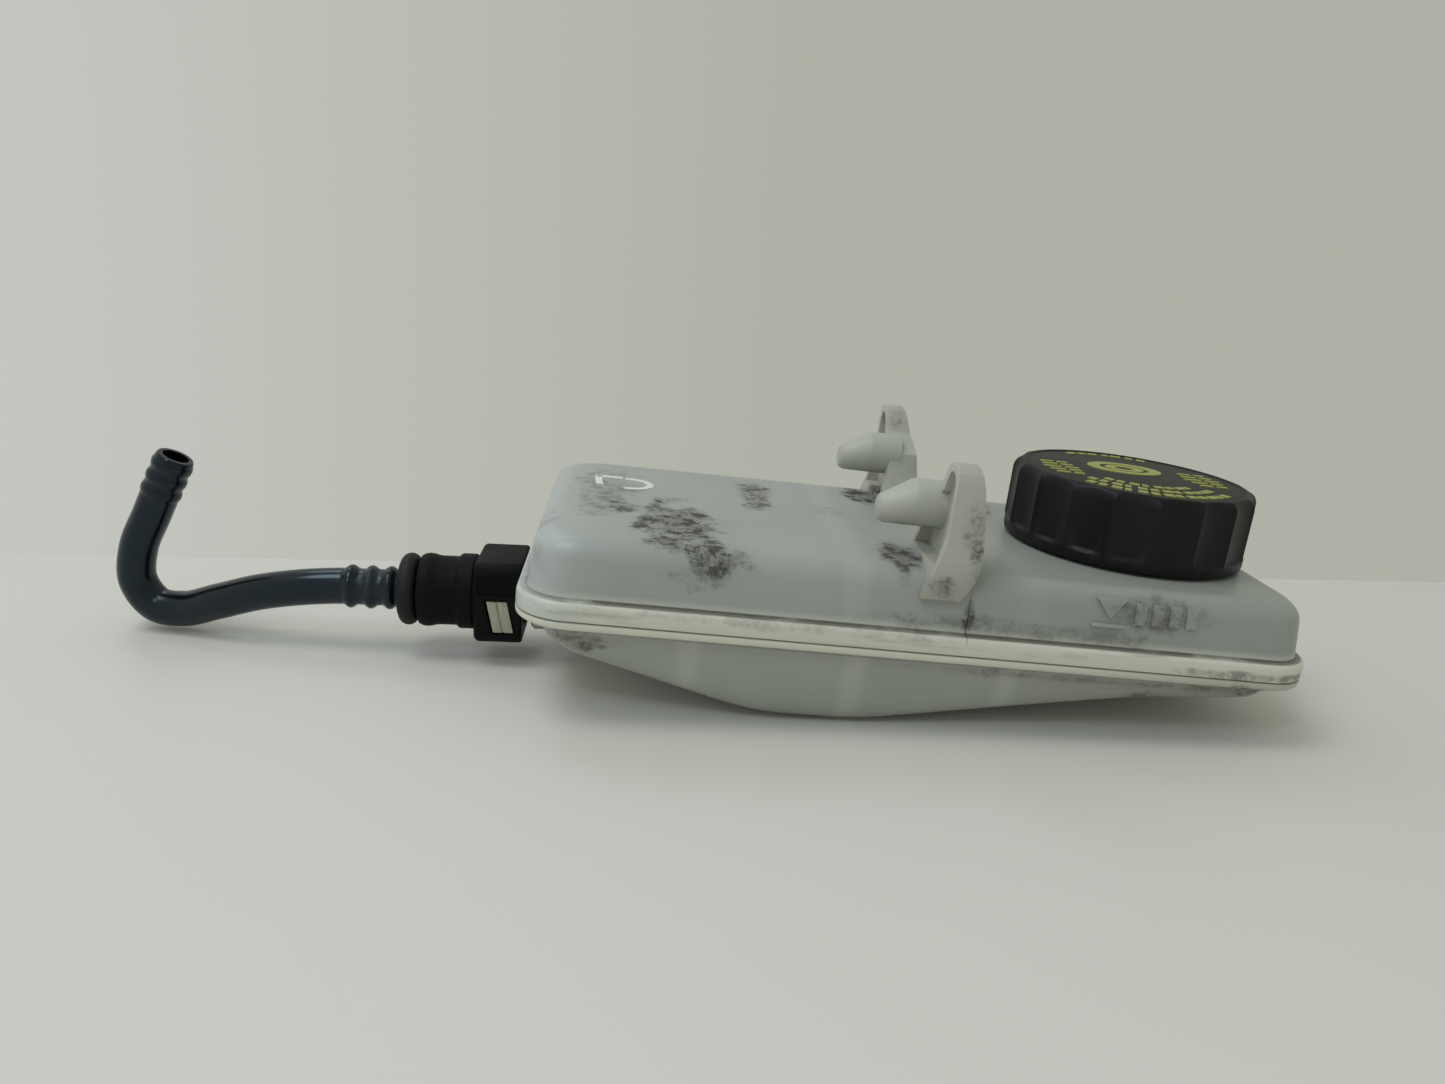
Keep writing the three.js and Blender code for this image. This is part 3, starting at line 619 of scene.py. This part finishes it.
def build_lower_shell():
    keel = smooth(polyline(KEEL), 4.5)
    # how far the bowl's side has drawn in, and which share of its depth it has reached there
    profile = [(0, 0), (0.7, 0.2), (1.6, 0.45), (2.5, 0.68), (3.3, 0.82), (4.4, 0.91), (6, 0.97),
               (8, 1), (14, 1), (22, 1), (30, 1)]

    def rings(offset):
        """Rings of the bowl from its rim to its keel, drawn in by an offset."""
        made = []
        for inset, fraction in profile:
            def height(x, y, fraction=fraction):
                depth = SPLIT_LOWER - keel(x) - offset
                return SPLIT_LOWER - depth * fraction
            radius = max(CORNER - offset + 0.6 - 0.3 * inset, 2.5)
            made.append(plan(BOWL_HALF_LENGTH - offset - inset, BOWL_HALF_WIDTH - offset - inset,
                             radius, height))
        return made
    rim = [flange_ring(lip, z) for lip, z in (
        (LIP - 0.35, SPLIT_LOWER), (LIP - 0.08, SPLIT_LOWER - 0.12), (LIP, SPLIT_LOWER - 0.4),
        (LIP - 0.1, -5.2), (LIP - 0.45, -5.65), (LIP - 1.0, FLANGE_BOTTOM), (-0.1, FLANGE_BOTTOM))]
    outer = rings(0)
    outer[0] = plan(BOWL_HALF_LENGTH, BOWL_HALF_WIDTH, CORNER + 0.6, FLANGE_BOTTOM - 0.15)
    outer[1] = [(x, y, min(z, FLANGE_BOTTOM - 0.5)) for x, y, z in outer[1]]
    verts, faces = loft(list(reversed(rings(WALL))) + rim + outer)
    shell = place("reservoir_lower", verts, faces, lower_material, "reservoir", "translucent_shell")
    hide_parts("lower_shell")
    boss = [(3.2, -96.2), (4.2, -96.2), (5, -95.2), (5, -88.7), (6.3, -86.7), (6.3, -85.3),
            (5, -85.3), (5, -79.8), (5.6, -79.3), (7.2, -79.2), (7.8, -78.6), (7.8, -58),
            (3.2, -58)]
    place("outlet_spigot", *lathe(boss, 48, "x", closed=True), lower_material, "reservoir",
          "translucent_shell", OUTLET)


def refined(outline, step):
    """The outline with extra points, so that no side is longer than a step."""
    points = []
    for (y0, z0), (y1, z1) in zip(outline, outline[1:] + outline[:1]):
        parts = max(1, math.ceil(math.hypot(y1 - y0, z1 - z0) / step))
        points += [(y0 + (y1 - y0) * k / parts, z0 + (z1 - z0) * k / parts) for k in range(parts)]
    return points


def build_ear(side, name):
    """One mounting ear with its tapered peg; side is -1 at the front and 1 at the back."""
    left, right = smooth(polyline(EAR_LEFT), 1.5), smooth(polyline(EAR_RIGHT), 1.5)
    verts, faces = prism([(side * y, z) for y, z in refined(EAR_FACE, 1.2)], left, right)
    ear = place(name, verts, faces, ear_material, "reservoir", "translucent_shell")
    cut(ear, prism([(side * y, z) for y, z in EAR_POCKET], lambda z: -8, lambda z: POCKET_BACK))
    soften(ear, 0.55, 3, 28)
    angles = [math.radians(9 * k) for k in range(40)]
    rings = [[(x, side * PEG_Y + r * math.cos(a), z + r * math.sin(a)) for a in angles]
             for x, r, z in PEG]
    place(name + "_peg", *loft(rings), ear_material, "reservoir", "translucent_shell")


def build_marks():
    """The level mark moulded in the front wall: a pointer, a line and plain bars."""
    def wall_y(z):
        return -(HALF_WIDTH - DRAFT * z)
    parts = [
        [(32.2, 10), (38.4, 10), (35.3, 5.8)],
        [(31.8, 4.9), (38.8, 4.9), (38.8, 4.1), (31.8, 4.1)],
    ]
    for number in range(4):
        x = 40.4 + 3.5 * number
        parts.append([(x, 9.4), (x + 2.2, 9.4), (x + 2.2, 5.2), (x, 5.2)])
    for number, outline in enumerate(parts):
        front = [(x, wall_y(z) - 0.75, z) for x, z in outline]
        back = [(x, wall_y(z) + 0.4, z) for x, z in outline]
        verts, faces = loft([back, front])
        mark = place(f"level_mark_{number}", verts, faces, upper_material, "reservoir",
                     "translucent_shell")
        soften(mark, 0.2, 2, 30)


def stroke(points, half, z0, z1):
    """A flat painted stroke of even width along points (x, y)."""
    left, right = [], []
    for number, (x, y) in enumerate(points):
        x0, y0 = points[max(number - 1, 0)]
        x1, y1 = points[min(number + 1, len(points) - 1)]
        run = math.hypot(x1 - x0, y1 - y0)
        nx, ny = -(y1 - y0) / run * half, (x1 - x0) / run * half
        left.append((x + nx, y + ny))
        right.append((x - nx, y - ny))
    outline = left + right[::-1]
    return loft([[(x, y, z0) for x, y in outline], [(x, y, z1) for x, y in outline]])


def build_paint():
    hook = [(-60.5 + 5 * math.cos(math.radians(a)), 13.5 + 4.6 * math.sin(math.radians(a)))
            for a in range(-100, 101, 20)]
    low, high = HEIGHT - 0.02, HEIGHT + 0.1
    verts, faces = merge(stroke(hook, 0.8, low, high),
                         stroke([(-62, 18.4), (-65.5, 18.6), (-68, 18.2)], 0.85, low, high),
                         stroke([(-67.6, 19.6), (-67.4, 14), (-67, 10.5)], 0.8, low, high))
    place("painted_tick", verts, faces, white_paint, "reservoir", "natural_plastic")


# ---- cap ----------------------------------------------------------------------------------------
def build_cap():
    count = FLUTES * FLUTE_POINTS

    def ring(radius, depth, z):
        """A ring about the cap's axis, scooped in between the flute ridges."""
        points = []
        for k in range(count):
            angle = 2 * math.pi * k / count
            scoop = abs(math.sin(angle * FLUTES / 2)) ** 0.7
            r = radius - depth * scoop
            points.append((NECK_X + r * math.cos(angle), r * math.sin(angle), z))
        return points
    # radius against the cap's own, flute depth and height of each ring, from the skirt to the top
    outside = [ring(CAP_BORE + 0.3, 0, CAP_BOTTOM)]
    outside += [ring(CAP_RADIUS + step, depth, z) for step, depth, z in (
        (-0.8, 0, CAP_BOTTOM), (-0.35, 0, CAP_BOTTOM + 0.3), (-0.2, 0, CAP_BOTTOM + 0.8),
        (-0.2, 0, CAP_BOTTOM + 2.2), (-0.1, 0.35, CAP_BOTTOM + 2.5), (0, 1.0, CAP_BOTTOM + 3),
        (0, 1.05, CAP_BOTTOM + 8), (0, 1.05, CAP_TOP - 2.4), (-0.1, 1.05, CAP_TOP - 1.7),
        (-0.6, 0.8, CAP_TOP - 0.7), (-1.3, 0.4, CAP_TOP - 0.15), (-1.8, 0.1, CAP_TOP),
        (-2.4, 0, CAP_TOP - 0.02), (-2.8, 0, CAP_TOP - 0.35))]
    inside = [ring(0.02, 0, CAP_CEILING), ring(CAP_BORE, 0, CAP_CEILING),
              ring(CAP_BORE, 0, CAP_BOTTOM + 0.3)]
    verts, faces = loft(inside + outside + [ring(0.02, 0, CAP_TOP - 0.35)])
    section = [(22.9, -0.8), (21.4, -0.3), (21.4, 0.3), (22.9, 0.8)]
    verts, faces = merge((verts, faces), thread(13.3, lambda k: section))
    cap = place("screw_cap", verts, faces, cap_material, "cap", "cap_plastic")
    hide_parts("cap_shell")
    disc = lathe([(0.02, CAP_TOP - 0.8), (23.1, CAP_TOP - 0.8), (23.1, CAP_TOP - 0.3),
                  (22.9, CAP_TOP - 0.22), (0.02, CAP_TOP - 0.2)], 96, at=(NECK_X, 0, 0))
    place("cap_top_disc", *disc, cap_top_material, "cap", "cap_plastic")


def arc_bar(radius, width, start, end, z0, z1, steps):
    """A curved bar about the cap's axis, angles in degrees."""
    outline = []
    for r, order in ((radius - width / 2, range(steps + 1)),
                     (radius + width / 2, range(steps, -1, -1))):
        for k in order:
            angle = math.radians(start + (end - start) * k / steps)
            outline.append((NECK_X + r * math.cos(angle), r * math.sin(angle)))
    return loft([[(x, y, z0) for x, y in outline], [(x, y, z1) for x, y in outline]])


def build_cap_marks():
    """Rows of plain raised dashes and a plain double ring, in worn yellow."""
    low, high = CAP_TOP - 0.25, CAP_TOP + 0.02
    bars = []
    shares = (0.72, 0.5, 0.8, 0.62)  # of the pitch, so that the dashes differ in length
    for radius, width, pitch, start, end in (
        (20.4, 2.0, 7.4, -140, -40), (16.6, 1.8, 9, -146, -34), (12.9, 1.7, 11.5, -140, -40),
        (20.6, 1.5, 8, 60, 120),
    ):
        for k in range(int((end - start) / pitch)):
            a = start + k * pitch
            share = shares[(k * 3 + int(radius)) % len(shares)]
            bars.append(arc_bar(radius, width, a, a + pitch * share, low, high, 3))
    for side in (-1, 1):
        for row in range(5):
            y = -5.6 + 2.8 * row
            reach = 4.4 - 0.5 * abs(row - 2)
            x = NECK_X + side * 16.2
            bars.append(brick(x - reach, x - 0.5, y - 0.55, y + 0.55, low, high))
            bars.append(brick(x + 0.4, x + reach * 0.8, y - 0.55, y + 0.55, low, high))
    for inner, outer in ((5.6, 8.4), (2.2, 4.4)):
        ring = []
        for k in range(64):
            angle = 2 * math.pi * k / 64
            c, s = math.cos(angle), math.sin(angle) * 0.72
            ring.append([(NECK_X + r * c, 5.5 + r * s, z) for r, z in (
                (inner, low), (inner, high), (outer, high), (outer, low))])
        bars.append(loft(ring, closed=True))
    verts, faces = merge(*bars)
    place("cap_marks", verts, faces, mark_material, "cap", "cap_plastic")


# ---- connector ----------------------------------------------------------------------------------
def build_connector():
    barrel = lathe([(4.2, BARREL_TAIL), (6.9, BARREL_TAIL), (7.6, BARREL_TAIL + 0.25),
                    (7.95, BARREL_TAIL + 0.9), (8.1, BARREL_TAIL + 1.8), (8.0, BARREL_TAIL + 2.8),
                    (7.75, BARREL_TAIL + 3.6), (7.62, BARREL_TAIL + 4.4), (7.62, -95.9),
                    (7.66, -95.5), (8.1, -95.1), (8.3, -94.7), (8.3, -91.9), (8.05, -91.6),
                    (8.05, -90.4), (6.9, -90.4), (6.9, -94.7), (5.4, -94.7), (5.4, -96.9),
                    (3, -96.9), (3, -98.2), (4.2, -98.2)], 72, "x", closed=True)
    place("connector_barrel", *barrel, housing_material, "outlet_line", "connector_plastic", OUTLET)

    def square(x, size, corner):
        """A rounded square across the connector's axis."""
        return [(x, a, b) for a, b, _ in plan(size, size, corner, 0, 3)]
    block = loft([square(HEAD_LEFT, HEAD_HALF - 0.9, 1.4), square(-90.9, HEAD_HALF - 0.4, 1.8),
                  square(-90.3, HEAD_HALF, 2.2), square(HEAD_RIGHT - 0.4, HEAD_HALF, 2.2),
                  square(HEAD_RIGHT, HEAD_HALF - 0.4, 1.8)])
    head = place("connector_head", *block, housing_material, "outlet_line", "connector_plastic",
                 OUTLET)
    window = [(-87.3, -6.6), (-82.2, -6.6), (-83.8, 1), (-88.9, 1)]
    strips = [brick(-90.4, HEAD_RIGHT + 1, face - 0.55, face + 0.55, 2.1, 6.3)
              for face in (-HEAD_HALF, HEAD_HALF)]
    bore = lathe([(6.9, -93), (6.9, -79)], 64, "x")
    cut(head, bore, slab_y(window, -14, 14), *strips)
    soften(head, 0.22, 2, 35)
    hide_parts("connector_housing")
    tab_outline = [(-86.95, -6.3), (-82.6, -6.3), (-84.1, 0.7), (-88.45, 0.7)]
    slit = [(-84.7, -8), (-84.3, -8), (-86.3, 2), (-86.7, 2)]
    for side, name in ((-1, "front"), (1, "back")):
        tab = place(f"retainer_{name}", *slab_y(tab_outline, side * 8.1, side * 8.85),
                    retainer_material, f"tab_{name}", "retainer_plastic", OUTLET)
        cut(tab, slab_y(slit, side * 8.5, side * 9.2))
        soften(tab, 0.15, 2, 35)
        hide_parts(f"retainer_tab_{name}")
    ring = [(4.3, -108), (6.2, -108)]
    ring += [(6.05 + 1.9 * math.sin(math.pi * k / 12), -106.05 - 1.95 * math.cos(math.pi * k / 12))
             for k in range(1, 12)]
    ring += [(6.2, -104.1), (4.3, -104.1)]
    boot = place("dust_seal", *lathe(ring, 72, "x", closed=True), rubber_material, "outlet_line",
                 "seal_rubber", OUTLET)
    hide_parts("dust_ring")


# ---- formed pipe --------------------------------------------------------------------------------
def build_pipe():
    """One sweep along the formed route; rings rise at the corrugations and at the end."""
    outlet_to_level = LEVEL.inverted() @ OUTLET
    straight = [outlet_to_level @ (Vector((x, 0, 0)) * MM) / MM
                for x in (PIPE_START, -104, -109.5, -115, -121)]
    route = straight + [Vector(point) for point in PIPE_ROUTE]
    padded = [2 * route[0] - route[1]] + route + [2 * route[-1] - route[-2]]
    knots = [0.0]
    for a, b in zip(padded, padded[1:]):
        knots.append(knots[-1] + (b - a).length ** 0.5)

    def between(index, share):
        """A point of the Catmull-Rom curve through the route, after a point of the route."""
        p, t = padded[index:index + 4], knots[index:index + 4]
        now = t[1] + (t[2] - t[1]) * share
        layer = [p[i].lerp(p[i + 1], (now - t[i]) / (t[i + 1] - t[i])) for i in range(3)]
        layer = [layer[i].lerp(layer[i + 1], (now - t[i]) / (t[i + 2] - t[i])) for i in range(2)]
        return layer[0].lerp(layer[1], (now - t[1]) / (t[2] - t[1]))
    coarse = [between(i, k / 24) for i in range(len(route) - 1) for k in range(24)] + [route[-1]]
    lengths = [0.0]
    for a, b in zip(coarse, coarse[1:]):
        lengths.append(lengths[-1] + (b - a).length)
    total = lengths[-1]

    def at(distance):
        """The point of the route at a distance from its start."""
        for i in range(len(coarse) - 1):
            if lengths[i + 1] >= distance:
                share = (distance - lengths[i]) / (lengths[i + 1] - lengths[i])
                return coarse[i].lerp(coarse[i + 1], share)
        return coarse[-1]

    def radius(distance):
        """The pipe's outside radius, with its corrugations and end ridges."""
        r = PIPE_RADIUS
        for x in CORRUGATIONS:
            off = abs(distance - (PIPE_START - x)) / 1.5
            r += 0.8 * math.cos(min(off, 1) * math.pi / 2) ** 1.3 if off < 1 else 0
        for back in END_RIDGES:
            off = (distance - (total - back)) / 1.1
            r += 0.32 * math.cos(off * math.pi / 2) ** 0.6 if abs(off) < 1 else 0
        return r
    step = 0.35
    samples = [min(k * step, total) for k in range(int(total / step) + 2)]
    samples = samples[:-1] if samples[-2] == total else samples
    side = Vector((0, 1, 0))
    outer, inner = [], []
    for distance in samples:
        here = at(distance)
        ahead = (at(min(distance + 0.3, total)) - at(max(distance - 0.3, 0))).normalized()
        side = (side - ahead * side.dot(ahead)).normalized()
        up = ahead.cross(side)
        r = radius(distance) - 0.35 * max(0, 1 - (total - distance) / 0.5)  # rounded end
        for ring, size in ((outer, r), (inner, PIPE_BORE)):
            ring.append([tuple(here + side * (size * math.cos(a)) + up * (size * math.sin(a)))
                         for a in (2 * math.pi * k / 40 for k in range(40))])
    verts, faces = loft(outer + inner[::-1][::6] + [inner[0]], closed=True)
    pipe = place("outlet_pipe", verts, faces, pipe_material, "outlet_line", "pipe_nylon", sharp=50)
    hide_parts("formed_pipe")


build_upper_shell()
build_neck()
build_lower_shell()
build_ear(-1, "front_ear")
build_ear(1, "back_ear")
build_marks()
build_paint()
build_cap()
build_cap_marks()
build_connector()
build_pipe()


# ---- stage, light and camera --------------------------------------------------------------------
IMAGE_WIDTH = 1445
FOCAL_PIXELS = 1130
SENSOR = 36
YAW, PITCH, ROLL = 0.091, 0.275, 0.119  # radians, against the level plane of the shells
EYE = (-60.6, -240, 71.7)

camera_data = bpy.data.cameras.new("camera")
camera_data.sensor_width = SENSOR
camera_data.lens = FOCAL_PIXELS / IMAGE_WIDTH * SENSOR
camera_data.clip_start = 0.01  # metres
camera = bpy.data.objects.new("camera", camera_data)
bpy.context.scene.collection.objects.link(camera)
aim = Matrix.Rotation(-YAW, 4, "Z") @ Matrix.Rotation(math.pi / 2 - PITCH, 4, "X")
aim = aim @ Matrix.Rotation(ROLL, 4, "Z")
camera.matrix_world = LEVEL @ Matrix.Translation(Vector(EYE) * MM) @ aim
bpy.context.scene.camera = camera
bpy.context.scene.view_settings.view_transform = "Standard"

# a bench top whose back edge lies just behind the object; the wall beyond it is the background
BENCH_EDGE = [(-2.6, -0.14), (-2.6, -2.5), (2.5, -2.5), (2.5, 0.2), (0.25, 0.088), (-0.18, 0.057)]
bench = bpy.data.meshes.new("bench")
bench.from_pydata([(x, y, 0) for x, y in BENCH_EDGE], [], [tuple(range(len(BENCH_EDGE)))])
floor = bpy.data.objects.new("bench", bench)
bpy.context.scene.collection.objects.link(floor)
floor_look = Look("bench_white", (0.725, 0.71, 0.68), 0.5, Specular_IOR_Level=0.3)
floor_look.tint(floor_look.noise(9, 3), (0.69, 0.675, 0.63), 0.5)
floor_look.bump(floor_look.noise(500, 2), 0.01)
bench.materials.append(floor_look.finish())

# the wall is brighter to the left, by the sideways part of the direction looked in
WALL_LEFT, WALL_RIGHT = (0.57, 0.58, 0.545, 1), (0.43, 0.442, 0.38, 1)
WALL_FADE = (-0.55, 0.1)

world = bpy.data.worlds.new("room")
bpy.context.scene.world = world
world.use_nodes = True
tree = world.node_tree
background = next(n for n in tree.nodes if n.type == "BACKGROUND")
direction = tree.nodes.new("ShaderNodeTexCoord").outputs["Generated"]
split = tree.nodes.new("ShaderNodeSeparateXYZ")
tree.links.new(direction, split.inputs[0])
ramp = tree.nodes.new("ShaderNodeMapRange")
ramp.inputs["From Min"].default_value, ramp.inputs["From Max"].default_value = WALL_FADE
tree.links.new(split.outputs[0], ramp.inputs["Value"])
mix = tree.nodes.new("ShaderNodeMix")
mix.data_type = "RGBA"
mix.inputs[6].default_value, mix.inputs[7].default_value = WALL_LEFT, WALL_RIGHT
tree.links.new(ramp.outputs[0], mix.inputs[0])
tree.links.new(mix.outputs[2], background.inputs["Color"])
background.inputs["Strength"].default_value = 1.0


def soft_light(name, place_at, target, size, watts, color=(1, 1, 1)):
    """A round soft light; places and size in metres."""
    data = bpy.data.lights.new(name, "AREA")
    data.shape, data.size, data.energy, data.color = "DISK", size, watts, color
    light = bpy.data.objects.new(name, data)
    bpy.context.scene.collection.objects.link(light)
    light.location = place_at
    light.rotation_euler = (Vector(target) - Vector(place_at)).to_track_quat("-Z", "Y").to_euler()


soft_light("key", (-0.4, -0.15, 1.0), (0, 0, 0), 0.5, 2.6, (1, 0.99, 0.96))
soft_light("sky", (-0.35, 0.55, 0.85), (-0.05, 0, 0.02), 0.4, 0.9, (0.7, 0.85, 1))
soft_light("window", (-0.22, -0.5, 0.68), (-0.08, 0, 0.02), 0.2, 0.5, (0.35, 0.62, 1))
soft_light("glint", (-0.25, -0.5, 0.55), (0, 0, 0.02), 0.03, 0.25)
